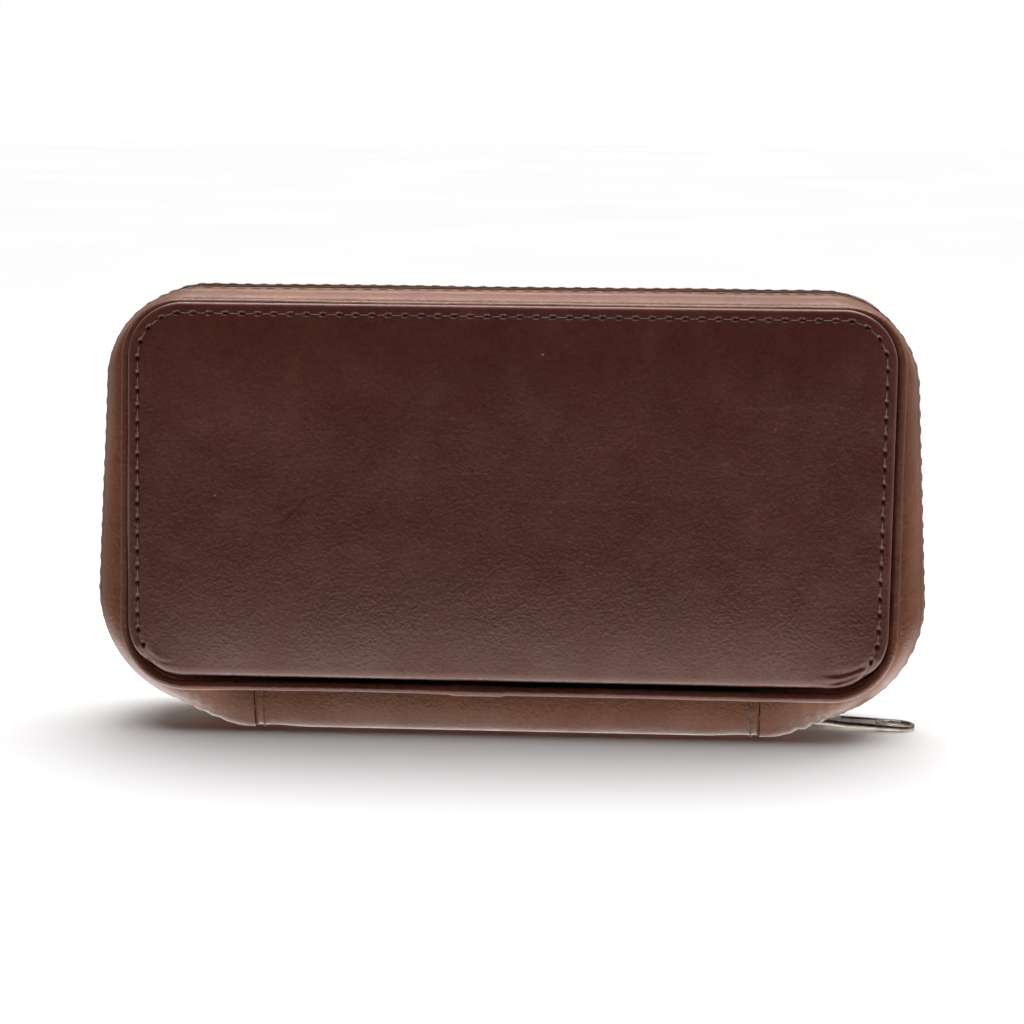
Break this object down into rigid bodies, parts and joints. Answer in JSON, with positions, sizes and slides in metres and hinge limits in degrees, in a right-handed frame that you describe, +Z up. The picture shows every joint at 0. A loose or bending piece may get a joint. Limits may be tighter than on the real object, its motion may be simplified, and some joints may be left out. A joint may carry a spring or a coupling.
{
  "type": "shaving kit bag",
  "caption": "Leather zip-around clamshell case that stands on its spine, with padded piped faces, a flared gusset and a lined inside with elastic loops.",
  "frame": {"origin": "middle of the spine's underside, on the surface the case stands on", "axes": "+X along the case's length, -Y out of the front face, +Z up from the spine to the top of the zip"},
  "size_m": [0.24, 0.056, 0.1284],
  "materials": {
    "cover_leather": "semi-gloss smooth dark brown leather",
    "gusset_leather": "satin soft brown leather",
    "piping_leather": "semi-gloss brown leather",
    "lining_cloth": "matte woven lining",
    "foam": "matte soft foam",
    "board": "matte pressed fibre board",
    "zip_tape_cloth": "matte woven tape",
    "zip_metal": "antiqued satin metal",
    "slider_metal": "dark gunmetal, worn satin",
    "elastic": "matte ribbed elastic",
    "thread": "waxed tan thread"
  },
  "bodies": {
    "back_shell": {"back_cover_panel": "cover_leather", "back_padding": "foam", "back_stiffener_board": "board", "back_piping": "piping_leather", "back_gusset": "gusset_leather", "back_spine_leather": "gusset_leather", "back_lining_floor": "lining_cloth", "back_lining_wall": "lining_cloth", "back_zip_tape": "zip_tape_cloth", "back_zip_teeth": "zip_metal", "back_top_stop": "zip_metal", "zip_bottom_stop": "zip_metal", "razor_loop": "elastic", "brush_loop": "elastic", "tube_loop": "elastic"},
    "front_shell": {"front_cover_panel": "cover_leather", "front_padding": "foam", "front_stiffener_board": "board", "front_piping": "piping_leather", "front_gusset": "gusset_leather", "front_spine_leather": "gusset_leather", "front_lining_floor": "lining_cloth", "front_lining_wall": "lining_cloth", "front_slip_pocket": "lining_cloth", "front_zip_tape": "zip_tape_cloth", "front_zip_teeth": "zip_metal", "front_top_stop": "zip_metal"},
    "slider": {"zip_slider_body": "slider_metal", "zip_slider_bridge": "slider_metal"},
    "pull": {"zip_pull_tab": "slider_metal"}
  },
  "joints": [
    {"name": "case_opening", "type": "hinge", "parent": "back_shell", "child": "front_shell", "pos_m": [0, 0, -0.0002], "axis": [1, 0, 0], "range_deg": [0, 180]},
    {"name": "slider_travel", "type": "hinge", "parent": "back_shell", "child": "slider", "pos_m": [0.085, 0, 0.0392], "axis": [0, -1, 0], "range_deg": [0, 78]},
    {"name": "pull_swing", "type": "hinge", "parent": "slider", "child": "pull", "pos_m": [0.085, 0, 0.0026], "axis": [0, 1, 0], "range_deg": [-1.5, 145]}
  ]
}
